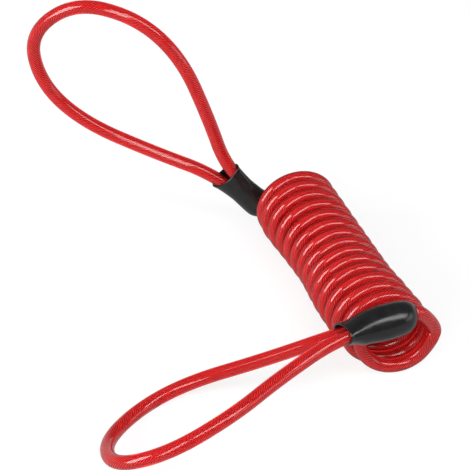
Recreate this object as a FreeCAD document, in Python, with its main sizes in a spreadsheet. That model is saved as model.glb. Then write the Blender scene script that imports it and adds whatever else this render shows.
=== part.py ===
import FreeCAD, Part
import math
import os
import Sketcher

# A coiled steel security cable: a close-wound coil of coated wire rope, with a
# teardrop eye at each end that a crimped ferrule closes under a black boot.
# Millimetres. Everything is laid out about the coil's centre, with the coil's axis
# along Y, the far eye at +Y and the near eye at -Y, and is then moved so that the
# origin is under the middle of the whole object, on the surface that it lies on.

V = FreeCAD.Vector

DIMENSIONS = [
    ("cable_diameter", 4.0),
    ("rope_diameter", 2.7),
    ("jacket_bore", 2.9),
    ("coil_radius_near", 11.2),
    ("coil_radius_far", 10.85),
    ("coil_pitch", 4.55),
    ("coil_lean", 2.0),
    ("coil_whole_turns", 16),
    ("coil_first_angle", -20.0),
    ("coil_last_angle", -60.0),
    ("flat_depth", 0.4),
    ("leg_offset", 2.05),
    ("ferrule_front", 6.0),
    ("ferrule_rear", 17.0),
    ("ferrule_half_width", 4.1),
    ("ferrule_half_height", 2.35),
    ("ferrule_edge", 0.5),
    ("crimp_bore", 2.8),
    ("jacket_inset", 3.5),
    ("boot_clearance", 0.1),
    ("boot_mouth_width", 12.4),
    ("boot_mouth_height", 6.1),
    ("boot_lip", 0.75),
    ("boot_tip_wall", 0.5),
    ("near_boot_length", 24.2),
    ("near_boot_width", 11.6),
    ("near_boot_height", 10.9),
    ("far_boot_length", 20.5),
    ("far_boot_width", 9.8),
    ("far_boot_height", 7.6),
    ("near_mouth_x", -18.7),
    ("near_mouth_y", -39.0),
    ("near_mouth_z", 13.7),
    ("near_azimuth", 180.6),
    ("near_pitch", -13.8),
    ("near_roll", 30.5),
    ("near_boot_tilt", 11.5),
    ("near_boot_swing", -1.0),
    ("far_mouth_x", -19.35),
    ("far_mouth_y", 50.2),
    ("far_mouth_z", 7.0),
    ("far_azimuth", 147.9),
    ("far_pitch", 45.6),
    ("far_roll", 85.9),
    ("far_boot_tilt", 0.5),
    ("far_boot_swing", -2.4),
]

# Routes of the two eyes, from one leg at the boot's mouth round to the other:
# (distance from the mouth, offset across the eye)
FAR_EYE_ROUTE = [
    (0.0, 2.05), (19.9, 13.1), (42.0, 23.3), (61.2, 23.0), (77.1, 11.0),
    (77.1, -11.0), (61.2, -23.0), (42.0, -23.3), (19.9, -13.1), (0.0, -2.05),
]
NEAR_EYE_ROUTE = [
    (0.0, 2.05), (22.3, 10.8), (40.5, 22.2), (61.9, 27.2), (77.0, 16.3),
    (76.0, -6.1), (62.0, -21.2), (44.5, -24.0), (22.3, -13.5), (0.0, -2.05),
]
GAP_STEPS = 240         # places on each turn at which the coil's gap is measured
LEG_RUN = 12.0          # straight run behind the mouth that the first bend may use
ARC_SHARE = 0.45        # part of the shorter run that a bend takes
CABLE_SIDES = 8         # facets round the cable
ROPE_SIDES = 6          # facets round the rope, one for each strand
ARC_PAIR_TURN = 90.0    # turn of the coil that each pair of arcs takes

doc = FreeCAD.newDocument("coiled_security_cable")
sheet = doc.addObject("Spreadsheet::Sheet", "Dimensions")
for row, (name, value) in enumerate(DIMENSIONS, start=1):
    sheet.set("A%d" % row, name)
    sheet.set("B%d" % row, str(value))
    sheet.setAlias("B%d" % row, name)
doc.recompute()


def dim(name):
    return float(sheet.get(name))


# Routes: straight runs joined by tangent arcs, and arc pairs

def tangent_arc(start, corner, end):
    """Arc from start to end, tangent there to the lines that meet at corner."""
    middle = (start + end) * 0.5
    half_chord = (end - start).Length / 2
    rise = corner - middle
    if rise.Length < 1e-6:
        return Part.LineSegment(start, end).toShape()
    angle = math.atan(rise.Length / half_chord)
    crown = middle + rise * (half_chord * math.tan(angle / 2) / rise.Length)
    return Part.Arc(start, crown, end).toShape()


def arc_pair(start, start_way, end, end_way):
    """Two tangent arcs from one place and direction to another, with their radii."""
    way = end - start
    both = start_way + end_way
    turn = 2 * (1 - start_way.dot(end_way))
    reach = way.dot(both)
    if turn < 1e-9:
        length = way.Length / 4
    else:
        length = (math.sqrt(reach * reach + turn * way.dot(way)) - reach) / turn
    first = start + start_way * length
    second = end - end_way * length
    joint = (first + second) * 0.5
    middle_way = (second - first).normalize()
    radii = []
    for one_way, next_way in ((start_way, middle_way), (middle_way, end_way)):
        radii.append(length / math.tan(one_way.getAngle(next_way) / 2))
    edges = [tangent_arc(start, first, joint), tangent_arc(joint, second, end)]
    return edges, radii


def bent_route(points, label):
    """Edges through a list of corners, each rounded as far as its two runs allow."""
    edges = []
    radii = []
    place = points[0]
    for before, corner, after in zip(points, points[1:], points[2:]):
        run_in = corner - before
        run_out = after - corner
        turn = run_in.getAngle(run_out)
        cut = ARC_SHARE * min(run_in.Length, run_out.Length)
        arc_start = corner - run_in.normalize() * cut
        arc_end = corner + run_out.normalize() * cut
        edges.append(Part.LineSegment(place, arc_start).toShape())
        edges.append(tangent_arc(arc_start, corner, arc_end))
        radii.append(cut / math.tan(turn / 2))
        place = arc_end
    edges.append(Part.LineSegment(place, points[-1]).toShape())
    print(label, "radii", [round(radius, 1) for radius in radii])
    return edges


def faceted_tube(edges, diameter, sides, label):
    """Solid tube of flat facets along joined edges."""
    path = Part.Wire(edges)
    start = edges[0].valueAt(edges[0].FirstParameter)
    way = edges[0].tangentAt(edges[0].FirstParameter)
    turn = FreeCAD.Rotation(V(0, 0, 1), way)
    corners = []
    for side in range(sides + 1):
        angle = 2 * math.pi * (side % sides) / sides
        spoke = V(math.cos(angle), math.sin(angle), 0) * (diameter / 2)
        corners.append(start + turn.multVec(spoke))
    section = Part.makePolygon(corners)
    solid = path.makePipeShell([section], True, False)
    area = sides / 2 * math.sin(2 * math.pi / sides) * (diameter / 2) ** 2
    share = solid.Volume / (area * path.Length)
    print(label, "length", round(path.Length, 1), "volume against section x length", round(share, 4))
    return solid


# The coil: a helix about Y, a little looser at the near end and level underneath

TURNS = dim("coil_whole_turns") + (dim("coil_first_angle") - dim("coil_last_angle")) / 360
FLOOR = -dim("coil_radius_near") - dim("cable_diameter") / 2 + dim("flat_depth")


def helix(turn):
    """Place and direction on the coil's centreline after a number of turns."""
    angle = math.radians(dim("coil_first_angle")) - 2 * math.pi * turn
    slack = dim("coil_radius_far") - dim("coil_radius_near")
    radius = dim("coil_radius_near") + slack * turn / TURNS
    place = V(
        radius * math.cos(angle),
        dim("coil_pitch") * (turn - TURNS / 2) - dim("coil_lean") * math.cos(angle),
        radius * math.sin(angle) + radius - dim("coil_radius_near"),
    )
    spin = -2 * math.pi
    widen = slack / TURNS
    way = V(
        widen * math.cos(angle) - radius * math.sin(angle) * spin,
        dim("coil_pitch") + dim("coil_lean") * math.sin(angle) * spin,
        widen * math.sin(angle) + radius * math.cos(angle) * spin + widen,
    )
    return place, way.normalize()


def least_gap(points, reach, diameter):
    """Least space between stretches of one tube that are further apart along it."""
    least = None
    for index, point in enumerate(points):
        for other in points[index + reach:]:
            gap = point.distanceToPoint(other) - diameter
            if least is None or gap < least:
                least = gap
    return least


def eye_frame(end):
    """Place and turn of an eye: Z to its tip, X across it, Y square to it."""
    azimuth = math.radians(dim(end + "_azimuth"))
    pitch = math.radians(dim(end + "_pitch"))
    roll = math.radians(dim(end + "_roll"))
    tip_way = V(math.cos(azimuth) * math.cos(pitch), math.sin(azimuth) * math.cos(pitch), math.sin(pitch))
    level = V(0, 0, 1).cross(tip_way).normalize()
    across = level * math.cos(roll) + tip_way.cross(level) * math.sin(roll)
    turn = FreeCAD.Rotation(across, tip_way.cross(across), tip_way, "ZXY")
    mouth = V(dim(end + "_mouth_x"), dim(end + "_mouth_y"), dim(end + "_mouth_z"))
    return FreeCAD.Placement(mouth, turn)


def boot_turn(end):
    """Turn of the boot in its eye's frame: out of the eye's plane, then within it."""
    tilt = FreeCAD.Rotation(V(1, 0, 0), -dim(end + "_boot_tilt"))
    swing = FreeCAD.Rotation(V(0, 1, 0), dim(end + "_boot_swing"))
    return FreeCAD.Placement(V(), tilt.multiply(swing))


def boot_frame(end):
    return eye_frame(end).multiply(boot_turn(end))


# The leg that goes on into the coil lies on this side of each boot
LINE_SIDE = {"near": -1, "far": 1}


def boot_entry(end):
    """Where the line leg meets the boot's closed end, and the direction to the mouth."""
    frame = boot_frame(end)
    place = frame.multVec(V(LINE_SIDE[end] * dim("leg_offset"), 0, -dim(end + "_boot_length")))
    return place, frame.Rotation.multVec(V(0, 0, 1))


parts = {}


def keep(name, shape, frame=FreeCAD.Placement()):
    """Adds one sub-part whose shape comes from the sheet's sizes."""
    piece = doc.addObject("Part::Feature", name)
    piece.Label = name
    piece.Shape = shape
    piece.Placement = frame
    parts[name] = piece


def coil_cable():
    straight = dim("cable_diameter")
    pairs = round(TURNS * 360 / ARC_PAIR_TURN)
    knots = [helix(TURNS * step / pairs) for step in range(pairs + 1)]
    start, start_way = knots[0]
    edges = [Part.LineSegment(start - start_way * straight, start).toShape()]
    for (here, here_way), (there, there_way) in zip(knots, knots[1:]):
        edges += arc_pair(here, here_way, there, there_way)[0]
    entry, entry_way = boot_entry("far")
    bend, radii = arc_pair(knots[-1][0], knots[-1][1], entry - entry_way * straight, entry_way)
    edges += bend
    edges.append(Part.LineSegment(entry - entry_way * straight, entry).toShape())
    print("far bend radii", [round(radius, 1) for radius in radii])
    places = [helix(step / GAP_STEPS)[0] for step in range(int(3 * GAP_STEPS))]
    print("least gap in the coil", round(least_gap(places, GAP_STEPS // 2, straight), 3))
    tube = faceted_tube(edges, dim("cable_diameter"), CABLE_SIDES, "coil_cable")
    below = Part.makeBox(200, 300, 20, V(-100, -150, FLOOR - 20))
    keep("coil_cable", tube.cut(below))


def near_lead_cable():
    start, start_way = helix(0)
    start = start - start_way * dim("cable_diameter")
    entry, entry_way = boot_entry("near")
    bend, radii = arc_pair(start, start_way * -1, entry, entry_way)
    print("near bend radii", [round(radius, 1) for radius in radii])
    tube = faceted_tube(bend, dim("cable_diameter"), CABLE_SIDES, "near_lead_cable")
    keep("near_lead_cable", tube)


def eye_cable(end, route):
    """Rope and jacket of one eye, in the eye's frame."""
    turned = boot_turn(end)
    side = dim("leg_offset")
    corners = [turned.multVec(V(side, 0, -LEG_RUN))]
    corners += [V(across, 0, along) for along, across in route]
    corners.append(turned.multVec(V(-side, 0, -LEG_RUN)))
    bends = bent_route(corners, end + " eye")
    reach = {LINE_SIDE[end]: dim(end + "_boot_length"), -LINE_SIDE[end]: dim("ferrule_rear")}
    first = Part.LineSegment(turned.multVec(V(side, 0, -reach[1])), corners[0]).toShape()
    last = Part.LineSegment(corners[-1], turned.multVec(V(-side, 0, -reach[-1]))).toShape()
    rope = faceted_tube(
        [first] + bends + [last], dim("rope_diameter"), ROPE_SIDES, end + "_eye_rope")
    keep(end + "_eye_rope", rope, eye_frame(end))
    outer = faceted_tube(bends, dim("cable_diameter"), CABLE_SIDES, end + "_eye_jacket")
    bore = faceted_tube(bends, dim("jacket_bore"), ROPE_SIDES, end + " jacket's bore")
    behind = Part.makeBox(60, 60, 30, V(-30, -30, -dim("jacket_inset") - 30))
    behind.Placement = turned.multiply(behind.Placement)
    jacket = outer.cut([bore, behind])
    frame = eye_frame(end)
    below = Part.makeBox(400, 400, 20, V(-200, -200, FLOOR - 20))
    below.Placement = frame.inverse().multiply(below.Placement)
    keep(end + "_eye_jacket", jacket.cut(below), frame)


def tail_jacket(end):
    """The jacket's last stretch, inside the boot behind the ferrule."""
    depth = dim(end + "_boot_length") - dim("ferrule_rear") - dim("boot_clearance")
    foot = V(LINE_SIDE[end] * dim("leg_offset"), 0, -dim(end + "_boot_length"))
    outer = Part.makeCylinder(dim("cable_diameter") / 2, depth, foot)
    bore = Part.makeCylinder(dim("jacket_bore") / 2, depth, foot)
    keep(end + "_tail_jacket", outer.cut(bore), boot_frame(end))


# Ferrules and boots

def bind(piece, prop, expression):
    piece.setExpression(prop, expression)


def origin_plane(body, role):
    for feature in body.Origin.OriginFeatures:
        if feature.Role == role:
            return feature
    return None


def slot_sketch(body, name, half_width, half_height, height):
    """Slot outline about the middle, on a plane at a given height."""
    sketch = body.newObject("Sketcher::SketchObject", name)
    sketch.AttachmentSupport = [(origin_plane(body, "XY_Plane"), "")]
    sketch.MapMode = "FlatFace"
    bind(sketch, "AttachmentOffset.Base.z", height)
    middle = 2.0
    radius = 2.3
    sketch.addGeometry(Part.LineSegment(V(-middle, -radius, 0), V(middle, -radius, 0)))
    sketch.addGeometry(Part.ArcOfCircle(
        Part.Circle(V(middle, 0, 0), V(0, 0, 1), radius), -math.pi / 2, math.pi / 2))
    sketch.addGeometry(Part.LineSegment(V(middle, radius, 0), V(-middle, radius, 0)))
    sketch.addGeometry(Part.ArcOfCircle(
        Part.Circle(V(-middle, 0, 0), V(0, 0, 1), radius), math.pi / 2, 3 * math.pi / 2))
    add = sketch.addConstraint
    for one, other in ((0, 1), (1, 2), (2, 3), (3, 0)):
        add(Sketcher.Constraint("Tangent", one, 2, other, 1))
    add(Sketcher.Constraint("PointOnObject", 1, 3, -1))
    add(Sketcher.Constraint("Symmetric", 1, 3, 3, 3, -1, 1))
    width_index = add(Sketcher.Constraint("DistanceX", -1, 1, 1, 3, middle))
    radius_index = add(Sketcher.Constraint("Radius", 1, radius))
    bind(sketch, "Constraints[%d]" % width_index, half_width + " - " + half_height)
    bind(sketch, "Constraints[%d]" % radius_index, half_height)
    return sketch


def ferrule(end):
    """Oval crimp sleeve with one bore for each leg of the rope."""
    body = doc.addObject("PartDesign::Body", end + "_ferrule")
    body.Label = end + "_ferrule"
    outline = slot_sketch(
        body, end + "_ferrule_outline", "Dimensions.ferrule_half_width",
        "Dimensions.ferrule_half_height", "-Dimensions.ferrule_rear")
    sleeve = body.newObject("PartDesign::Pad", end + "_ferrule_sleeve")
    sleeve.Profile = outline
    bind(sleeve, "Length", "Dimensions.ferrule_rear - Dimensions.ferrule_front")
    doc.recompute()
    rims = []
    for index, edge in enumerate(sleeve.Shape.Edges, start=1):
        if edge.BoundBox.ZLength < 0.01:
            rims.append("Edge%d" % index)
    bevelled = body.newObject("PartDesign::Chamfer", end + "_ferrule_rims")
    bevelled.Base = (sleeve, rims)
    bind(bevelled, "Size", "Dimensions.ferrule_edge")
    doc.recompute()
    bores = body.newObject("Sketcher::SketchObject", end + "_ferrule_bores")
    bores.AttachmentSupport = [(origin_plane(body, "XY_Plane"), "")]
    bores.MapMode = "FlatFace"
    bind(bores, "AttachmentOffset.Base.z", "-Dimensions.ferrule_rear")
    for index, side in enumerate((1, -1)):
        bores.addGeometry(Part.Circle(V(2 * side, 0, 0), V(0, 0, 1), 1.4))
        bores.addConstraint(Sketcher.Constraint("PointOnObject", index, 3, -1))
        offset = bores.addConstraint(Sketcher.Constraint("DistanceX", -1, 1, index, 3, 2.0 * side))
        size = bores.addConstraint(Sketcher.Constraint("Diameter", index, 2.8))
        bind(bores, "Constraints[%d]" % offset, "Dimensions.leg_offset * %d" % side)
        bind(bores, "Constraints[%d]" % size, "Dimensions.crimp_bore")
    drilled = body.newObject("PartDesign::Pocket", end + "_ferrule_drilled")
    drilled.Profile = bores
    drilled.Type = "ThroughAll"
    drilled.Midplane = True
    doc.recompute()
    body.Placement = boot_frame(end)
    parts[end + "_ferrule"] = body


def oval(name, half_width, half_height, height, aside="0"):
    """Ellipse across the boot at a given height, its middle shifted to one side."""
    ring = doc.addObject("Part::Ellipse", name)
    bind(ring, "MajorRadius", half_width)
    bind(ring, "MinorRadius", half_height)
    bind(ring, "Placement.Base.x", aside)
    bind(ring, "Placement.Base.z", height)
    return ring


def loft(name, rings):
    skin = doc.addObject("Part::Loft", name)
    skin.Sections = rings
    skin.Solid = True
    skin.Ruled = True
    return skin


# Outline of each boot between its mouth and its tip: (share of its length back from the
# mouth, share of its width, share of its height, share of the leg's offset that the
# middle has moved to the leg that goes on)
BOOT_SECTIONS = {
    "near": [
        (0.13, 1.01, 0.62, 0.0), (0.26, 1.00, 0.80, 0.0), (0.42, 1.00, 0.95, 0.0),
        (0.58, 0.98, 1.00, 0.0), (0.74, 0.93, 0.97, 0.1), (0.86, 0.85, 0.88, 0.3),
        (0.94, 0.70, 0.72, 0.6),
    ],
    "far": [
        (0.12, 1.17, 0.82, 0.0), (0.28, 1.06, 0.87, 0.0), (0.45, 0.99, 0.92, 0.0),
        (0.62, 1.00, 1.00, 0.0), (0.80, 1.07, 1.07, 0.2), (0.90, 0.97, 0.99, 0.5),
        (0.96, 0.78, 0.84, 0.8),
    ],
}


def boot_skin(end):
    """Outside of the boot: flat lip, round body and domed tip about the leg."""
    length = "Dimensions.%s_boot_length" % end
    rings = [oval(
        end + "_boot_lip", "Dimensions.boot_mouth_width / 2", "Dimensions.boot_mouth_height / 2", "0")]
    for index, (back, wide, high, aside) in enumerate(BOOT_SECTIONS[end]):
        rings.append(oval(
            "%s_boot_ring%d" % (end, index),
            "Dimensions.%s_boot_width / 2 * %s" % (end, wide),
            "Dimensions.%s_boot_height / 2 * %s" % (end, high),
            "-%s * %s" % (length, back),
            "Dimensions.leg_offset * %s" % (LINE_SIDE[end] * aside)))
    tip = "Dimensions.cable_diameter / 2 + Dimensions.boot_clearance + Dimensions.boot_tip_wall"
    rings.append(oval(
        end + "_boot_tip", tip + " + 0.01", tip, "-" + length,
        "Dimensions.leg_offset * %d" % LINE_SIDE[end]))
    return loft(end + "_boot_skin", rings)


def boot_hollow(end):
    """Room in the boot: the ferrule's seat, the flared mouth and the leg's way out."""
    body = doc.addObject("PartDesign::Body", end + "_boot_seat")
    outline = slot_sketch(
        body, end + "_boot_seat_outline",
        "Dimensions.ferrule_half_width + Dimensions.boot_clearance",
        "Dimensions.ferrule_half_height + Dimensions.boot_clearance",
        "-Dimensions.ferrule_rear - Dimensions.boot_clearance")
    seat = body.newObject("PartDesign::Pad", end + "_boot_seat_pad")
    seat.Profile = outline
    bind(seat, "Length", "Dimensions.ferrule_rear + 1")
    flare = loft(end + "_boot_flare", [
        oval(end + "_boot_flare_back", "Dimensions.ferrule_half_width",
             "Dimensions.cable_diameter / 2 + Dimensions.boot_clearance", "-Dimensions.ferrule_front"),
        oval(end + "_boot_flare_front", "Dimensions.boot_mouth_width / 2 - Dimensions.boot_lip",
             "Dimensions.boot_mouth_height / 2 - Dimensions.boot_lip", "0.5"),
    ])
    entry = doc.addObject("Part::Cylinder", end + "_boot_entry")
    bind(entry, "Radius", "Dimensions.cable_diameter / 2 + Dimensions.boot_clearance")
    bind(entry, "Height", "Dimensions.%s_boot_length" % end)
    bind(entry, "Placement.Base.x", "Dimensions.leg_offset * %d" % LINE_SIDE[end])
    bind(entry, "Placement.Base.z", "-Dimensions.%s_boot_length - 1" % end)
    return body, flare, entry


def cut(name, base, tool):
    piece = doc.addObject("Part::Cut", name)
    piece.Label = name
    piece.Base = base
    piece.Tool = tool
    return piece


def boot(end):
    """Soft boot drawn over the ferrule, open at the mouth where both legs come out."""
    skin = boot_skin(end)
    seat, flare, entry = boot_hollow(end)
    seated = cut(end + "_boot_seated", skin, seat)
    flared = cut(end + "_boot_flared", seated, flare)
    shell = cut(end + "_boot", flared, entry)
    doc.recompute()
    print(end + "_boot wall", round(shell.Shape.Volume, 1), "of", round(skin.Shape.Volume, 1))
    shell.Placement = boot_frame(end)
    parts[end + "_boot"] = shell


coil_cable()
near_lead_cable()
for end_name, end_route in (("near", NEAR_EYE_ROUTE), ("far", FAR_EYE_ROUTE)):
    eye_cable(end_name, end_route)
    tail_jacket(end_name)
    ferrule(end_name)
    boot(end_name)
doc.recompute()

# The origin goes under the middle of the whole object, on the surface
os.makedirs("parts", exist_ok=True)
whole = FreeCAD.BoundBox()
for piece in parts.values():
    whole.add(piece.Shape.optimalBoundingBox())
shift = V(-whole.Center.x, -whole.Center.y, -FLOOR)
print("coil centre in the part's frame", [round(value, 3) for value in shift])
print("lowest point above the floor", round(whole.ZMin - FLOOR, 3))
for piece in parts.values():
    piece.Placement = FreeCAD.Placement(shift, FreeCAD.Rotation()).multiply(piece.Placement)
doc.recompute()

for thing in doc.Objects:
    if "Invalid" in thing.State or "Error" in thing.State:
        raise RuntimeError("%s: %s" % (thing.Name, thing.State))
for name, piece in parts.items():
    if piece.Shape.isNull() or not piece.Shape.isValid():
        raise RuntimeError(name + " has no valid shape")
    if len(piece.Shape.Solids) != 1:
        raise RuntimeError("%s has %d solids" % (name, len(piece.Shape.Solids)))
for name, piece in parts.items():
    piece.Shape.exportStep("parts/%s.step" % name)
    box = piece.Shape.optimalBoundingBox()
    print("%-18s volume %8.1f  x %6.1f %6.1f  y %6.1f %6.1f  z %6.2f %6.2f" % (
        name, piece.Shape.Volume, box.XMin, box.XMax, box.YMin, box.YMax, box.ZMin, box.ZMax))
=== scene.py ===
import math

import bpy
import numpy as np
from mathutils import Matrix, Vector


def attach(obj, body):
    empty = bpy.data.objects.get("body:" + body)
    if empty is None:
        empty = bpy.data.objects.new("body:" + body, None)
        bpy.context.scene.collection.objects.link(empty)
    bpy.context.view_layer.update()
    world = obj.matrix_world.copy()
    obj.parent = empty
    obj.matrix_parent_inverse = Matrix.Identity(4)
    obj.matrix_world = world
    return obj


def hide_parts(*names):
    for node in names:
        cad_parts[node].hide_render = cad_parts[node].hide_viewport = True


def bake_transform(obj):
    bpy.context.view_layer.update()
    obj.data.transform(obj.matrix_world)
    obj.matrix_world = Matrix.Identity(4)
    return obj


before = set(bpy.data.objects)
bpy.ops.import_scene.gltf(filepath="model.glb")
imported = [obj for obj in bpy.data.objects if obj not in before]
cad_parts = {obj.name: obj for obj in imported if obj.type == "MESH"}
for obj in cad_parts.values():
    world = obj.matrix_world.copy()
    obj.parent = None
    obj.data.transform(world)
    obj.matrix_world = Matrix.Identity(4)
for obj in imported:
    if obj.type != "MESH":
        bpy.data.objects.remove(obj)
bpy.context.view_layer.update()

# A coiled steel cable in a clear red coating, with a teardrop eye and a black boot at
# each end. Lengths are in millimetres about the coil's centre, its axis along Y, and
# are turned into the frame's metres where a mesh is made.

MM = 0.001
COIL_CENTRE = Vector((40.638, -10.825, 12.8))

CABLE_RADIUS = 2.13
ROPE_RADIUS = 1.12
COIL_RADIUS_NEAR = 11.2
COIL_RADIUS_FAR = 10.85
COIL_PITCH = 4.78
COIL_SHIFT = 0.9        # of the whole coil along Y
COIL_LEAN = 2.0         # of each turn: its +X side is nearer the near eye
COIL_FIRST_ANGLE = -20.0
COIL_LAST_ANGLE = -60.0
COIL_WHOLE_TURNS = 15
CROWDED_TURN = 9.3      # the turns lie a little nearer the near eye about this one
CROWDED_TURNS = 4.7     # to either side of it
CROWDED_SHIFT = 1.1
# How far the turns reach beyond the plain coil: (turn, on the +X side, on the -X side)
REACH = np.array([
    (0.0, 1.0, -5.0), (0.5, 1.6, -2.9), (1.0, 2.0, -1.6), (2.0, 1.7, -0.6), (3.0, 1.2, -0.2),
    (4.0, 0.9, 0.0), (5.3, 0.1, 0.0), (7.0, 0.0, -0.5), (8.0, 0.0, -0.9), (9.0, 0.0, -0.8),
    (10.5, 0.0, -0.3), (12.0, 0.0, 0.3), (13.0, 0.0, 1.0), (14.2, 0.0, 0.7), (15.2, 0.0, 0.0),
])
LAST_TURNS = 1.6        # the last turns keep clear of the far boot as it swings
BOOT_ROOM = 0.55
COIL_POINTS_PER_TURN = 16
COIL_TURNS = COIL_WHOLE_TURNS + (COIL_FIRST_ANGLE - COIL_LAST_ANGLE) / 360
LEG_OFFSET = 2.05       # of each leg from the middle of its boot
LEG_RUN = 12.0          # the rope's ends lie this far behind the boot's mouth
JACKET_INSET = 3.5      # and the coating's ends about this far

# The leads' control points: straight out of each boot, and for the near lead two more,
# given from a place that lies a little before the coil's first turn
NEAR_STRAIGHT = 1.6
FAR_STRAIGHT = (7.0, 3.6)
BEFORE_FIRST_TURN = 4.0
NEAR_LEAD_OFFSETS = (Vector((1.1, 0.0, 4.0)), Vector((-0.3, -0.8, 0.9)))

# Each boot's sections back from its mouth: (share of its length, share of its width,
# share of its height, share of the leg's offset that the middle has moved).
# Its rim_cut: (cut all round, more of it towards +X, more of it towards +Y).
# Its crease: (depth, width, face, (across at the rim, across at its end, where it ends)),
# which is a ridge where the depth is negative.
NEAR = {
    "mouth": Vector((-18.7, -39.0, 13.7)), "azimuth": 180.6, "pitch": -13.8, "roll": 30.5,
    "boot_tilt": 11.5, "boot_swing": -1.0, "line_side": -1,
    "boot_length": 24.2, "boot_width": 11.6, "boot_height": 10.9,
    "sections": [
        (0.13, 1.01, 0.62, 0.0), (0.26, 1.00, 0.80, 0.0), (0.42, 1.00, 0.95, 0.0),
        (0.58, 0.98, 1.00, 0.0), (0.74, 0.93, 0.97, 0.1), (0.86, 0.85, 0.88, 0.3),
        (0.94, 0.70, 0.72, 0.6),
    ],
    "rim_cut": (0.7, 1.3, 0.1), "crease": (-0.7, 4.0, -1, (0.0, 0.0, -8.0)),
}
FAR = {
    "mouth": Vector((-19.35, 50.2, 7.0)), "azimuth": 147.9, "pitch": 45.6, "roll": 85.9,
    "boot_tilt": 0.5, "boot_swing": -2.4, "line_side": 1,
    "boot_length": 20.5, "boot_width": 9.8, "boot_height": 7.6,
    "sections": [
        (0.12, 1.17, 0.82, 0.0), (0.28, 1.06, 0.87, 0.0), (0.45, 0.99, 0.92, 0.0),
        (0.62, 1.00, 1.00, 0.0), (0.80, 1.07, 1.07, 0.2), (0.90, 0.97, 0.99, 0.5),
        (0.96, 0.78, 0.84, 0.8),
    ],
    "rim_cut": (0.9, 0.0, -0.9), "crease": (0.4, 1.0, -1, (5.0, 3.6, -8.0)),
}
# Each eye's route: (along from the boot's mouth, across, above the eye's plane)
FAR_EYE_ROUTE = [
    (0.0, 2.05, 0.0), (19.9, 13.1, 0.0), (42.0, 23.3, 0.0), (61.2, 23.0, 0.0), (77.1, 11.0, 0.0),
    (77.1, -11.0, 0.0), (61.2, -23.0, 0.0), (42.0, -23.3, 0.0), (19.9, -13.1, 0.0),
    (0.0, -2.05, 0.0),
]
NEAR_EYE_ROUTE = [
    (0.0, 2.05, 0.0), (22.3, 10.8, -0.2), (40.5, 22.2, -0.3), (61.9, 27.2, -0.3),
    (77.0, 16.3, -0.3), (76.0, -6.1, -0.4), (62.0, -21.2, -0.5), (44.5, -24.0, -0.6),
    (22.3, -13.5, -1.3), (0.0, -2.05, -0.6),
]


def in_frame(point):
    """Metres in the frame, from millimetres about the coil's centre."""
    return (Vector(point) + COIL_CENTRE) * MM


def turned(azimuth, pitch, roll):
    """Turn whose Z runs to an eye's tip, with X across the eye."""
    azimuth, pitch, roll = (math.radians(angle) for angle in (azimuth, pitch, roll))
    tip = Vector((
        math.cos(azimuth) * math.cos(pitch), math.sin(azimuth) * math.cos(pitch), math.sin(pitch)))
    level = Vector((0, 0, 1)).cross(tip).normalized()
    across = level * math.cos(roll) + tip.cross(level) * math.sin(roll)
    return Matrix((across, tip.cross(across), tip)).transposed()


def eye_frame(end):
    return Matrix.Translation(end["mouth"]) @ turned(
        end["azimuth"], end["pitch"], end["roll"]).to_4x4()


def boot_frame(end):
    """The boot's own frame: its mouth at the origin and its closed end at -Z."""
    tilt = Matrix.Rotation(math.radians(-end["boot_tilt"]), 4, "X")
    swing = Matrix.Rotation(math.radians(end["boot_swing"]), 4, "Y")
    return eye_frame(end) @ tilt @ swing


def boot_entry(end):
    """Where the line leg enters the boot's closed end, and its direction to the mouth."""
    place = boot_frame(end) @ Vector((end["line_side"] * LEG_OFFSET, 0, -end["boot_length"]))
    way = boot_frame(end).to_3x3() @ Vector((0, 0, 1))
    return place, way


def helix(turn, swell=1.0):
    """A place on the coil's centreline after a number of turns."""
    angle = math.radians(COIL_FIRST_ANGLE) - 2 * math.pi * turn
    radius = COIL_RADIUS_NEAR + (COIL_RADIUS_FAR - COIL_RADIUS_NEAR) * turn / COIL_TURNS
    lift = radius - COIL_RADIUS_NEAR
    side = (0.5 + 0.5 * math.cos(angle)) ** 2
    other_side = (0.5 - 0.5 * math.cos(angle)) ** 2
    radius += side * float(np.interp(turn, REACH[:, 0], REACH[:, 1]))
    radius += other_side * float(np.interp(turn, REACH[:, 0], REACH[:, 2]))
    crowded = min(abs(turn - CROWDED_TURN) / CROWDED_TURNS, 1.0)
    shift = COIL_SHIFT - CROWDED_SHIFT * math.cos(math.pi / 2 * crowded) ** 2
    last = min(max((turn - COIL_TURNS) / LAST_TURNS + 1, 0.0), 1.0)
    shift -= BOOT_ROOM * other_side * last
    return Vector((
        swell * radius * math.cos(angle),
        COIL_PITCH * (turn - COIL_TURNS / 2) + shift - COIL_LEAN * math.cos(angle),
        swell * radius * math.sin(angle) + lift,
    ))


# Centrelines: smooth splines that the routes' control points make

COIL_RESOLUTION = 10
EYE_RESOLUTION = 40
SAME_POINT = 1e-7       # metres


def spline_points(name, controls, resolution):
    """Points along the smooth spline that a route's control points make, in metres."""
    curve = bpy.data.curves.new(name, "CURVE")
    curve.dimensions = "3D"
    spline = curve.splines.new("NURBS")
    spline.points.add(len(controls) - 1)
    for point, place in zip(spline.points, controls):
        point.co = (*in_frame(place), 1)
    spline.order_u = 3
    spline.use_endpoint_u = True
    spline.resolution_u = resolution
    line = bpy.data.objects.new(name, curve)
    bpy.context.scene.collection.objects.link(line)
    bpy.context.view_layer.update()
    mesh = bpy.data.meshes.new_from_object(line)
    points = np.array([vertex.co for vertex in mesh.vertices], float)
    bpy.data.objects.remove(line)
    bpy.data.meshes.remove(mesh)
    bpy.data.curves.remove(curve)
    apart = np.linalg.norm(np.diff(points, axis=0), axis=1) > SAME_POINT
    return points[np.concatenate([[True], apart])]


def distance_along(points):
    steps = np.linalg.norm(np.diff(points, axis=0), axis=1)
    return np.concatenate([[0], np.cumsum(steps)])


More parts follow.
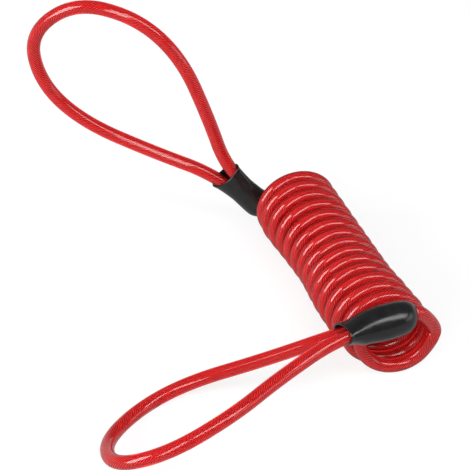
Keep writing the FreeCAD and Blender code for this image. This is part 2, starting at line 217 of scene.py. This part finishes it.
def evenly(points, step):
    """The same line with points a steady step apart."""
    along = distance_along(points)
    count = max(2, int(round(along[-1] / step)))
    places = np.linspace(0, along[-1], count + 1)
    return np.stack([np.interp(places, along, points[:, axis]) for axis in range(3)], 1)


def carried_frames(points):
    """Two directions across the line at each point, carried along it without spin."""
    ways = np.gradient(points, axis=0)
    ways /= np.linalg.norm(ways, axis=1)[:, None]
    across = np.cross(ways[0], [0.0, 0.0, 1.0])
    if np.linalg.norm(across) < 0.1:
        across = np.cross(ways[0], [0.0, 1.0, 0.0])
    first = np.zeros_like(points)
    for index, way in enumerate(ways):
        across = across - way * (across @ way)
        across /= np.linalg.norm(across)
        first[index] = across
    return first, np.cross(ways, first)


def cable_line(points):
    """A cable's stretch: its points, two directions across it and millimetres along it."""
    first, second = carried_frames(points)
    return points, first, second, distance_along(points) / MM


def part_of(line, low, high):
    return tuple(column[low:high] for column in line)


def whole_line():
    """The coil with its two free ends, from the near boot to the far one."""
    near_place, near_way = boot_entry(NEAR)
    far_place, far_way = boot_entry(FAR)
    before = helix(0) + (helix(0) - helix(0.02)).normalized() * BEFORE_FIRST_TURN
    controls = [near_place, near_place - near_way * NEAR_STRAIGHT]
    controls += [before + offset for offset in NEAR_LEAD_OFFSETS]
    steps = COIL_WHOLE_TURNS * COIL_POINTS_PER_TURN
    swell = 1 / math.cos(math.pi / COIL_POINTS_PER_TURN)
    controls += [helix(COIL_TURNS * step / steps, swell) for step in range(steps + 1)]
    controls += [far_place - far_way * run for run in FAR_STRAIGHT]
    controls.append(far_place)
    return spline_points("whole_line", controls, COIL_RESOLUTION)


def eye_line(name, end, route):
    """One eye's centreline, from leg to leg inside the ferrule."""
    boot = boot_frame(end)
    eye = eye_frame(end)
    controls = [boot @ Vector((LEG_OFFSET, 0, -LEG_RUN))]
    controls += [eye @ Vector((across, above, along)) for along, across, above in route]
    controls.append(boot @ Vector((-LEG_OFFSET, 0, -LEG_RUN)))
    return spline_points(name, controls, EYE_RESOLUTION)


# Meshes of rings

def mesh_object(name, vertices, faces, material):
    mesh = bpy.data.meshes.new(name)
    mesh.from_pydata([tuple(vertex) for vertex in vertices], [], faces)
    mesh.validate()
    mesh.polygons.foreach_set("use_smooth", [True] * len(mesh.polygons))
    mesh.materials.append(material)
    piece = bpy.data.objects.new(name, mesh)
    bpy.context.scene.collection.objects.link(piece)
    return piece


def ring_faces(rings, sides):
    faces = []
    for ring in range(rings - 1):
        for side in range(sides):
            here = ring * sides + side
            beside = ring * sides + (side + 1) % sides
            faces.append((here, beside, beside + sides, here + sides))
    return faces


def write_attribute(piece, name, kind, field, values):
    attribute = piece.data.attributes.new(name, kind, "POINT")
    attribute.data.foreach_set(field, np.asarray(values, np.float32).ravel())


# The cable: a clear coating over a rope, whose outer wires show their lay through it

JACKET_SIDES = 32
STRANDS = 12
SIDES_PER_STRAND = 4
LAY_LENGTH = 13.0
LINE_STEP = 0.52


def lay_spin(along):
    return -2 * math.pi * along / LAY_LENGTH


def swept(name, line, angles, radii, material, closed):
    """A tube: at each point of a line, a ring at the given angles and radii."""
    points, first, second, along = line
    rings, sides = radii.shape
    spokes = (
        (np.cos(angles) * radii)[:, :, None] * first[:, None, :]
        + (np.sin(angles) * radii)[:, :, None] * second[:, None, :])
    vertices = (points[:, None, :] + spokes * MM).reshape(-1, 3)
    vertices[:, 2] = np.maximum(vertices[:, 2], 0.0)    # flat where it lies on the floor
    faces = ring_faces(rings, sides)
    if closed:
        faces.append(tuple(reversed(range(sides))))
        faces.append(tuple(range((rings - 1) * sides, rings * sides)))
    piece = mesh_object(name, vertices, faces, material)
    place = np.stack([
        np.cos(angles) * CABLE_RADIUS, np.sin(angles) * CABLE_RADIUS,
        np.repeat(along[:, None], sides, axis=1)], axis=2)
    write_attribute(piece, "cable_place", "FLOAT_VECTOR", "vector", place)
    return piece


def strand_offset(angles):
    """Angle from the middle of the nearest strand."""
    between = 2 * math.pi / STRANDS
    return (angles + between / 2) % between - between / 2


def jacket(name, line, material, closed=False):
    """The coating, round and smooth."""
    angles = np.linspace(0, 2 * math.pi, JACKET_SIDES, endpoint=False)[None, :]
    angles = np.repeat(angles, len(line[0]), axis=0)
    return swept(name, line, angles, np.full(angles.shape, CABLE_RADIUS), material, closed)


def rope(name, line, material):
    """Round wires side by side about the core, laid along the line."""
    sine = math.sin(math.pi / STRANDS)
    strand = ROPE_RADIUS * sine / (1 + sine)
    middle = ROPE_RADIUS - strand
    angles = np.linspace(0, 2 * math.pi, STRANDS * SIDES_PER_STRAND, endpoint=False)
    off = strand_offset(angles)
    beyond = np.maximum(strand ** 2 - (middle * np.sin(off)) ** 2, 0.0)
    reach = middle * np.cos(off) + np.sqrt(beyond)
    crowns = (reach - reach.min()) / (reach.max() - reach.min())
    rings = len(line[0])
    spun = angles[None, :] + lay_spin(line[3])[:, None]
    radii = np.repeat(reach[None, :], rings, axis=0)
    piece = swept(name, line, spun, radii, material, True)
    write_attribute(
        piece, "strand_crown", "FLOAT", "value", np.repeat(crowns[None, :], rings, axis=0))
    return piece


# Materials: each is mixed from two shades by noise, the coating also by the rope's lay as painted
# shade between its wires, and the rope by painted shade in its grooves

# The coating's two reds: on the cable the darker is painted shade between the rope's wires and the
# paler is painted light over them; elsewhere both are tones that vary at random.
DARK_RED_AND_LAY_SHADE = (0.62, 0.006, 0.007, 1)
PALE_RED_AND_LAY_LIGHT = (1.0, 0.045, 0.045, 1)
DULL_STEEL = (0.90, 0.89, 0.88, 1)
CLEAN_STEEL = (1.0, 0.99, 0.98, 1)
# painted shade in the rope's grooves between its wires
GROOVE_SHADE = (0.10, 0.09, 0.085, 1)
DEEP_BLACK = (0.005, 0.005, 0.006, 1)
WORN_BLACK = (0.012, 0.011, 0.011, 1)
DULL_SLEEVE = (0.52, 0.52, 0.53, 1)
CLEAN_SLEEVE = (0.74, 0.74, 0.74, 1)
NOISE_RANGE = (0.3, 0.7)    # that the noise seldom leaves


def new_material(name):
    material = bpy.data.materials.new(name)
    material.use_nodes = True
    nodes = material.node_tree.nodes
    return nodes, material.node_tree.links, nodes["Principled BSDF"], material


def scaled(nodes, links, vector, scale):
    stretch = nodes.new("ShaderNodeVectorMath")
    stretch.operation = "MULTIPLY"
    links.new(vector, stretch.inputs[0])
    stretch.inputs[1].default_value = scale
    return stretch.outputs["Vector"]


def noise(nodes, links, vector, scale, detail, low=0.0, high=1.0):
    """Noise at a scale, spread from low to high."""
    cloud = nodes.new("ShaderNodeTexNoise")
    links.new(vector, cloud.inputs["Vector"])
    cloud.inputs["Scale"].default_value = scale
    cloud.inputs["Detail"].default_value = detail
    spread = nodes.new("ShaderNodeMapRange")
    links.new(cloud.outputs["Fac"], spread.inputs["Value"])
    spread.inputs["From Min"].default_value = NOISE_RANGE[0]
    spread.inputs["From Max"].default_value = NOISE_RANGE[1]
    spread.inputs["To Min"].default_value = low
    spread.inputs["To Max"].default_value = high
    return spread.outputs["Result"]


def arithmetic(nodes, links, operation, one, other):
    """One sum on sockets or plain numbers."""
    node = nodes.new("ShaderNodeMath")
    node.operation = operation
    for value, socket in zip((one, other), node.inputs):
        if isinstance(value, (int, float)):
            socket.default_value = value
        else:
            links.new(value, socket)
    return node.outputs["Value"]


def colour_between(nodes, links, share, one, other):
    mix = nodes.new("ShaderNodeMix")
    mix.data_type = "RGBA"
    links.new(share, mix.inputs[0])
    mix.inputs[6].default_value = one
    mix.inputs[7].default_value = other
    return mix.outputs[2]


def bump(nodes, links, height, distance, strength, under=None):
    node = nodes.new("ShaderNodeBump")
    node.inputs["Strength"].default_value = strength
    node.inputs["Distance"].default_value = distance
    links.new(height, node.inputs["Height"])
    if under is not None:
        links.new(under, node.inputs["Normal"])
    return node.outputs["Normal"]


def attribute(nodes, name, output):
    node = nodes.new("ShaderNodeAttribute")
    node.attribute_name = name
    return node.outputs[output]


def object_place(nodes, links):
    """Place on the object in millimetres."""
    coordinates = nodes.new("ShaderNodeTexCoord")
    return scaled(nodes, links, coordinates.outputs["Object"], (1 / MM, 1 / MM, 1 / MM))


def wire_waves(nodes, links, place):
    """1 over the middle of each outer wire of the rope and 0 between two wires."""
    parts = nodes.new("ShaderNodeSeparateXYZ")
    links.new(place, parts.inputs["Vector"])
    angle = arithmetic(nodes, links, "ARCTAN2", parts.outputs["Y"], parts.outputs["X"])
    laid = arithmetic(nodes, links, "MULTIPLY", parts.outputs["Z"], 2 * math.pi / LAY_LENGTH)
    turns = arithmetic(nodes, links, "ADD", angle, laid)
    wave = arithmetic(
        nodes, links, "COSINE", arithmetic(nodes, links, "MULTIPLY", turns, STRANDS), 0)
    return arithmetic(nodes, links, "MULTIPLY", arithmetic(nodes, links, "ADD", wave, 1.0), 0.5)


def clear_red(name, on_cable):
    """Glossy clear coating. On the cable its colour carries painted shade between the rope's wires
    and painted light over them; elsewhere its tone varies at random.
    """
    nodes, links, shader, material = new_material(name)
    place = attribute(nodes, "cable_place", "Vector") if on_cable else object_place(nodes, links)
    drawn = scaled(nodes, links, place, (1.0, 1.0, 0.12))
    if on_cable:
        patchy = noise(nodes, links, place, scale=0.9, detail=2.0, low=0.5)
        # painted shade and light: darker between the rope's wires, paler over them, as the lay
        # looks through the coating
        waves = wire_waves(nodes, links, place)
        tone_and_lay_shade = arithmetic(nodes, links, "MULTIPLY", waves, patchy)
    else:
        tone_and_lay_shade = noise(nodes, links, drawn, scale=0.8, detail=2.0)
    links.new(
        colour_between(nodes, links, tone_and_lay_shade, DARK_RED_AND_LAY_SHADE, PALE_RED_AND_LAY_LIGHT), shader.inputs["Base Color"])
    gloss = noise(nodes, links, place, scale=0.5, detail=3.0, low=0.08, high=0.13)
    links.new(gloss, shader.inputs["Roughness"])
    lines = noise(nodes, links, drawn, scale=3.0, detail=2.0)
    peel = noise(nodes, links, place, scale=1.6, detail=2.0)
    normal = bump(nodes, links, lines, distance=0.006 * MM, strength=0.2)
    normal = bump(nodes, links, peel, distance=0.01 * MM, strength=0.25, under=normal)
    links.new(normal, shader.inputs["Normal"])
    shader.inputs["Transmission Weight"].default_value = 0.85
    shader.inputs["Specular IOR Level"].default_value = 1.0
    shader.inputs["IOR"].default_value = 1.45
    return material


def steel_rope():
    """Drawn steel wires, with painted shade in the grooves between them."""
    nodes, links, shader, material = new_material("steel_rope")
    place = attribute(nodes, "cable_place", "Vector")
    crown = attribute(nodes, "strand_crown", "Fac")
    patches = noise(nodes, links, place, scale=1.2, detail=3.0)
    steel = colour_between(nodes, links, patches, DULL_STEEL, CLEAN_STEEL)
    # painted shade: the steel goes dark where the wires' crowns fall away into the grooves
    grooves = nodes.new("ShaderNodeMix")
    grooves.data_type = "RGBA"
    links.new(crown, grooves.inputs[0])
    grooves.inputs[6].default_value = GROOVE_SHADE
    links.new(steel, grooves.inputs[7])
    links.new(grooves.outputs[2], shader.inputs["Base Color"])
    dullness = noise(nodes, links, place, scale=2.0, detail=2.0, low=0.6, high=0.8)
    links.new(dullness, shader.inputs["Roughness"])
    along = scaled(nodes, links, place, (4.0, 4.0, 1.0))
    scratches = noise(nodes, links, along, scale=2.5, detail=2.0)
    links.new(
        bump(nodes, links, scratches, distance=0.03 * MM, strength=0.4), shader.inputs["Normal"])
    shader.inputs["Metallic"].default_value = 0.1
    shader.inputs["Specular IOR Level"].default_value = 0.2
    return material


def black_boot():
    """Satin black moulded skin, with a fine grain, faint smears and a smoother rim."""
    nodes, links, shader, material = new_material("black_boot")
    place = object_place(nodes, links)
    cloud = noise(nodes, links, place, scale=0.35, detail=4.0)
    links.new(
        colour_between(nodes, links, cloud, DEEP_BLACK, WORN_BLACK), shader.inputs["Base Color"])
    rim = attribute(nodes, "boot_rim", "Fac")
    smears = noise(nodes, links, place, scale=0.6, detail=4.0, low=0.17, high=0.26)
    smoother = arithmetic(nodes, links, "MULTIPLY", rim, 0.1)
    links.new(
        arithmetic(nodes, links, "SUBTRACT", smears, smoother), shader.inputs["Roughness"])
    grain = noise(nodes, links, place, scale=4.5, detail=3.0)
    folds = noise(nodes, links, place, scale=0.12, detail=1.0)
    normal = bump(nodes, links, grain, distance=0.02 * MM, strength=0.35)
    normal = bump(nodes, links, folds, distance=0.3 * MM, strength=0.25, under=normal)
    links.new(normal, shader.inputs["Normal"])
    shader.inputs["IOR"].default_value = 1.5
    return material


def crimped_metal():
    """Soft metal sleeve with the press's fine lines round it."""
    nodes, links, shader, material = new_material("crimped_metal")
    place = object_place(nodes, links)
    tarnish = noise(nodes, links, place, scale=0.7, detail=4.0)
    links.new(
        colour_between(nodes, links, tarnish, DULL_SLEEVE, CLEAN_SLEEVE),
        shader.inputs["Base Color"])
    dullness = noise(nodes, links, place, scale=1.5, detail=3.0, low=0.3, high=0.5)
    links.new(dullness, shader.inputs["Roughness"])
    pressed = scaled(nodes, links, place, (1.0, 6.0, 6.0))
    lines = noise(nodes, links, pressed, scale=1.5, detail=2.0)
    links.new(
        bump(nodes, links, lines, distance=0.05 * MM, strength=0.5), shader.inputs["Normal"])
    shader.inputs["Metallic"].default_value = 1.0
    return material


RED = clear_red("clear_red_coating", True)
TAIL_RED = clear_red("clear_red_tail", False)
STEEL = steel_rope()
BLACK = black_boot()
CRIMP = crimped_metal()


# The cable's pieces between the boots


def cable_stretch(name, line):
    """Coating and rope of one stretch of the cable."""
    pieces = [jacket(name + "_coating", line, RED), rope(name + "_wires", line, STEEL)]
    for piece, slot in zip(pieces, ("red_jacket", "steel_rope")):
        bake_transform(piece)
    return pieces


def smooth_step(share):
    return share * share * (3 - 2 * share)


NEAR_LEAD_RINGS = 35
FAR_LEAD_RINGS = 39

line = cable_line(evenly(whole_line(), LINE_STEP * MM))
far_cut = len(line[0]) - FAR_LEAD_RINGS
coil_line = part_of(line, NEAR_LEAD_RINGS, far_cut + 1)

near_lead = cable_stretch(
    "near_lead", part_of(line, 0, NEAR_LEAD_RINGS + 1))
coil = cable_stretch(
    "coil", coil_line)
far_lead = cable_stretch(
    "far_lead", part_of(line, far_cut, None))
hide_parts("near_lead_cable")
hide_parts("coil_cable")


def eye(body, end, route):
    """One eye's rope and coating, which ride on the eye's own body."""
    whole = cable_line(evenly(eye_line(body + "_line", end, route), LINE_STEP * MM))
    bare = int((LEG_RUN - JACKET_INSET) / LINE_STEP)
    covered = part_of(whole, bare, len(whole[0]) - bare)
    wires = rope(body + "_wires", whole, STEEL)
    coating = jacket(body + "_coating", covered, RED, closed=True)
    for piece, slot, node in (
            (wires, "steel_rope", body + "_rope"), (coating, "red_jacket", body + "_jacket")):
        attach(piece, body)
        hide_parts(node)


eye("near_eye", NEAR, NEAR_EYE_ROUTE)
eye("far_eye", FAR, FAR_EYE_ROUTE)

# The boots: a soft skin over the ferrule, open and hollow at the mouth

BOOT_MOUTH_WIDTH = 12.4
BOOT_MOUTH_HEIGHT = 6.1
BOOT_WALL = 0.75
BOOT_TIP_RADIUS = 2.6
BOOT_SIDES = 96
BOOT_RINGS = 90
RIM_RINGS = 10
HOLLOW_RINGS = 14
HOLLOW_DEPTH = 7.5
SEAT_HALF_WIDTH = 4.25      # where the hollow ends, round the ferrule
SEAT_HALF_HEIGHT = 2.5
BOOT_LIP = 0.04             # share of the mouth's width that its lip adds
LIP_REACH = 0.9
DIP_REACH = 5.0
RIM_REACH = 1.5             # how far back the smoother rim reaches
ENTRY_ROOM = 0.05           # round the cable where it enters the closed end
ENTRY_BULGE = 0.2
ENTRY_DEPTH = 1.2
CREASE_FADE_START = 0.75    # shares of the crease's length
CREASE_FADE_RUN = 0.4


def eased(keys, values, at):
    """Smooth values between keys, which never overshoot them."""
    steps = np.diff(values) / np.diff(keys)
    slopes = np.zeros_like(values)
    for index in range(1, len(values) - 1):
        before, after = steps[index - 1], steps[index]
        if before * after > 0:
            slopes[index] = 2 * before * after / (before + after)
    slopes[0], slopes[-1] = steps[0], steps[-1]
    index = np.clip(np.searchsorted(keys, at) - 1, 0, len(keys) - 2)
    width = keys[index + 1] - keys[index]
    share = (at - keys[index]) / width
    rest = 1 - share
    return (
        values[index] * rest ** 2 * (1 + 2 * share)
        + values[index + 1] * share ** 2 * (1 + 2 * rest)
        + width * share * rest * (slopes[index] * rest - slopes[index + 1] * share))


def boot_profile(end, back):
    """Half width, half height and shift of the boot's outside at shares of its length."""
    rows = [(0.0, BOOT_MOUTH_WIDTH / 2, BOOT_MOUTH_HEIGHT / 2, 0.0)]
    for share, wide, high, aside in end["sections"]:
        rows.append((
            share, end["boot_width"] / 2 * wide, end["boot_height"] / 2 * high, aside * LEG_OFFSET))
    rows.append((1.0, BOOT_TIP_RADIUS, BOOT_TIP_RADIUS, LEG_OFFSET))
    table = np.array(rows)
    return [eased(table[:, 0], table[:, column], back) for column in (1, 2, 3)]


def boot_rings(end):
    """Rings from deep in the mouth, over the rim and along the outside, to the entry.

    Each is (along, half width, half height, shift, how far it belongs to the rim).
    """
    length = end["boot_length"]
    inner = np.linspace(0, 1, HOLLOW_RINGS)[::-1]
    mouth_width, mouth_height, _ = boot_profile(end, np.array(0.0))
    rows = []
    for share in inner:
        deep = smooth_step(share)
        rows.append((
            -BOOT_WALL / 2 - share * HOLLOW_DEPTH,
            (mouth_width - BOOT_WALL) * (1 - deep) + SEAT_HALF_WIDTH * deep,
            (mouth_height - BOOT_WALL) * (1 - deep) + SEAT_HALF_HEIGHT * deep, 0.0, 1 - share))
    for step in range(1, RIM_RINGS):
        angle = math.pi * step / RIM_RINGS
        inset = BOOT_WALL / 2 * (1 + math.cos(angle))
        rows.append((
            -BOOT_WALL / 2 * (1 - math.sin(angle)), mouth_width - inset, mouth_height - inset,
            0.0, 1.0))
    first_back = BOOT_WALL / 2 / length
    backs = first_back + (1 - first_back) * np.linspace(0, 1, BOOT_RINGS)
    for back, wide, high, aside in zip(backs, *boot_profile(end, backs)):
        rim = math.exp(-(back * length / RIM_REACH) ** 2)
        rows.append((-back * length, wide, high, aside, rim))
    entry = CABLE_RADIUS + ENTRY_ROOM
    for step in range(1, RIM_RINGS + 1):
        angle = math.pi / 2 * step / RIM_RINGS
        radius = BOOT_TIP_RADIUS - (BOOT_TIP_RADIUS - entry) * math.sin(angle)
        bulge = ENTRY_BULGE * math.sin(2 * angle)
        rows.append((-length - bulge, radius, radius, LEG_OFFSET, 0.0))
    rows.append((-length + ENTRY_DEPTH, entry, entry, LEG_OFFSET, 0.0))
    return rows


def mouth_dip(angles, end):
    """How far the rim is cut back round the mouth."""
    level, ahead, aside = end["rim_cut"]
    return np.maximum(level + ahead * np.cos(angles) + aside * np.sin(angles), 0.0)


def crease(x, y, along, end):
    """How far a face is drawn in or stands out along a line that runs back from the rim."""
    depth, width, face, (rim_x, end_x, end_along) = end["crease"]
    share = np.clip(along / end_along, 0.0, 1.0)
    middle = rim_x + (end_x - rim_x) * share
    faded = (along / end_along - CREASE_FADE_START) / CREASE_FADE_RUN
    fade = 1 - smooth_step(np.clip(faded, 0.0, 1.0))
    return depth * fade * np.exp(-((x - middle) / width) ** 2) * (y * face > 0) * -face


def boot(body, end):
    """One boot, with its rim cut back and creased on one face beside a leg."""
    angles = np.linspace(0, 2 * math.pi, BOOT_SIDES, endpoint=False)
    dip = mouth_dip(angles, end)
    vertices = []
    rims = []
    place = boot_frame(end)
    for along, wide, high, aside, rim in boot_rings(end):
        flare = 1 + BOOT_LIP * math.exp(-(along / LIP_REACH) ** 2)
        x = wide * flare * np.cos(angles)
        y = high * flare * np.sin(angles)
        y = y + crease(x, y, along, end)
        x = x + end["line_side"] * aside
        z = along - dip * math.exp(-(along / DIP_REACH) ** 2)
        vertices += [in_frame(place @ Vector(point)) for point in zip(x, y, z)]
        rims += [rim] * BOOT_SIDES
    rings = len(vertices) // BOOT_SIDES
    faces = ring_faces(rings, BOOT_SIDES)
    piece = mesh_object(body.replace("eye", "boot_skin"), vertices, faces, BLACK)
    write_attribute(piece, "boot_rim", "FLOAT", "value", rims)
    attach(piece, body)
    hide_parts(body.replace("eye", "boot"))


boot("near_eye", NEAR)
boot("far_eye", FAR)

for node, material in (
        ("near_ferrule", CRIMP), ("far_ferrule", CRIMP),
        ("near_tail_jacket", TAIL_RED), ("far_tail_jacket", TAIL_RED)):
    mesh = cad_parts[node].data
    mesh.materials.clear()
    mesh.materials.append(material)

# Floor, light and camera

FLOOR_SIZE = 3.0
FLOOR_GLOW = 0.78       # brings the lit floor near to white
FLOOR_COLOUR = 0.25
FLOOR_IN_MIRRORS = 0.3  # share of that glow in reflections


def seen_directly(nodes, links, path):
    """1 for rays from the camera or through a clear surface, 0 for all others."""
    return arithmetic(
        nodes, links, "ADD", path.outputs["Is Camera Ray"], path.outputs["Is Transmission Ray"])


def floor_seen(nodes, links):
    """The share of the floor's glow that a ray meets, less of it in a reflection."""
    path = nodes.new("ShaderNodeLightPath")
    mirrored = arithmetic(
        nodes, links, "MULTIPLY", path.outputs["Is Glossy Ray"], FLOOR_IN_MIRRORS)
    seen = arithmetic(nodes, links, "ADD", seen_directly(nodes, links, path), mirrored)
    return arithmetic(nodes, links, "MINIMUM", seen, 1.0)


def floor():
    bpy.ops.mesh.primitive_plane_add(size=FLOOR_SIZE, location=(0, 0, 0))
    ground = bpy.context.object
    ground.name = "floor"
    nodes, links, shader, material = new_material("pale_floor")
    shader.inputs["Base Color"].default_value = (FLOOR_COLOUR, FLOOR_COLOUR, FLOOR_COLOUR, 1)
    shader.inputs["Roughness"].default_value = 0.95
    shader.inputs["Specular IOR Level"].default_value = 0.1
    shader.inputs["Emission Color"].default_value = (1, 1, 1, 1)
    links.new(
        arithmetic(nodes, links, "MULTIPLY", floor_seen(nodes, links), FLOOR_GLOW),
        shader.inputs["Emission Strength"])
    ground.data.materials.append(material)


def room_light(overhead, horizon, horizon_height):
    """A plain room: pale near the horizon, dimmer overhead, white where seen directly."""
    world = bpy.data.worlds.new("pale_room")
    world.use_nodes = True
    nodes, links = world.node_tree.nodes, world.node_tree.links
    backdrop = nodes["Background"]
    coordinates = nodes.new("ShaderNodeTexCoord")
    parts = nodes.new("ShaderNodeSeparateXYZ")
    links.new(coordinates.outputs["Generated"], parts.inputs["Vector"])
    fade = nodes.new("ShaderNodeMapRange")
    fade.interpolation_type = "SMOOTHSTEP"
    links.new(parts.outputs["Z"], fade.inputs["Value"])
    fade.inputs["From Min"].default_value = 0.0
    fade.inputs["From Max"].default_value = horizon_height
    fade.inputs["To Min"].default_value = horizon
    fade.inputs["To Max"].default_value = overhead
    seen = seen_directly(nodes, links, nodes.new("ShaderNodeLightPath"))
    links.new(
        arithmetic(nodes, links, "MAXIMUM", fade.outputs["Result"], seen),
        backdrop.inputs["Strength"])
    backdrop.inputs["Color"].default_value = (1, 1, 1, 1)
    bpy.context.scene.world = world


LAMP_WATTS = math.pi    # per square metre and unit of brightness
LAMP_DISTANCE = 0.85

# Soft boxes: name, direction of one end, direction of the other, width and brightness
LAMPS = [
    ("left_strip", (-88, -5), (-92, 38), 0.38, 9),
    ("front_strip", (-40, 20), (-14, 62), 0.25, 7),
    ("near_right_strip", (0, 66), (52, 33), 0.26, 6),
    ("right_panel", (40, 16), (80, 8), 0.3, 1.6),
]


def towards(azimuth, elevation):
    """A direction from the coil. Azimuth 0 is at -Y and 90 at +X."""
    azimuth, elevation = math.radians(azimuth), math.radians(elevation)
    return Vector((
        math.sin(azimuth) * math.cos(elevation), -math.cos(azimuth) * math.cos(elevation),
        math.sin(elevation)))


def strip_lamp(name, one_end, other_end, width, brightness):
    """A soft box that faces the coil and reaches from one direction to another."""
    one, other = towards(*one_end), towards(*other_end)
    away = (one + other).normalized()
    long = (other - one).normalized()
    height = (other - one).length * LAMP_DISTANCE / away.dot(one)
    light = bpy.data.lights.new(name, "AREA")
    light.shape = "RECTANGLE"
    light.size = width
    light.size_y = height
    light.energy = brightness * LAMP_WATTS * width * height
    lamp = bpy.data.objects.new(name, light)
    lamp.matrix_world = Matrix.Translation(in_frame((0, 0, 0)) + away * LAMP_DISTANCE) @ Matrix((
        long.cross(away), long, away)).transposed().to_4x4()
    lamp.visible_camera = False
    bpy.context.scene.collection.objects.link(lamp)


CAMERA_AZIMUTH = -22.4
CAMERA_ELEVATION = 41.2
CAMERA_DISTANCE = 700.0     # to the coil's centre
PHOTO_SIZE = 470
PIXELS_PER_MM = 3.2         # at the coil's centre
COIL_CENTRE_PIXEL = (341.0, 270.4)
SENSOR = 36.0


def photo_camera():
    """The photograph's camera, turned to the coil's centre and shifted off it."""
    back = towards(CAMERA_AZIMUTH, CAMERA_ELEVATION)
    azimuth = math.radians(CAMERA_AZIMUTH)
    right = Vector((math.cos(azimuth), math.sin(azimuth), 0))
    up = back.cross(right)
    aside = (COIL_CENTRE_PIXEL[0] - PHOTO_SIZE / 2) / PIXELS_PER_MM
    above = (COIL_CENTRE_PIXEL[1] - PHOTO_SIZE / 2) / PIXELS_PER_MM
    place = in_frame(back * CAMERA_DISTANCE - right * aside + up * above)
    data = bpy.data.cameras.new("photo_camera")
    data.sensor_width = SENSOR
    data.lens = SENSOR * PIXELS_PER_MM * CAMERA_DISTANCE / PHOTO_SIZE
    data.clip_start = 0.01
    data.clip_end = 20
    camera = bpy.data.objects.new("photo_camera", data)
    turn = Matrix((right, up, back)).transposed().to_4x4()
    camera.matrix_world = Matrix.Translation(place) @ turn
    bpy.context.scene.collection.objects.link(camera)
    bpy.context.scene.camera = camera


floor()
room_light(overhead=0.16, horizon=0.26, horizon_height=0.3)
for lamp in LAMPS:
    strip_lamp(*lamp)
photo_camera()
bpy.context.scene.view_settings.view_transform = "Standard"

bpy.context.view_layer.update()
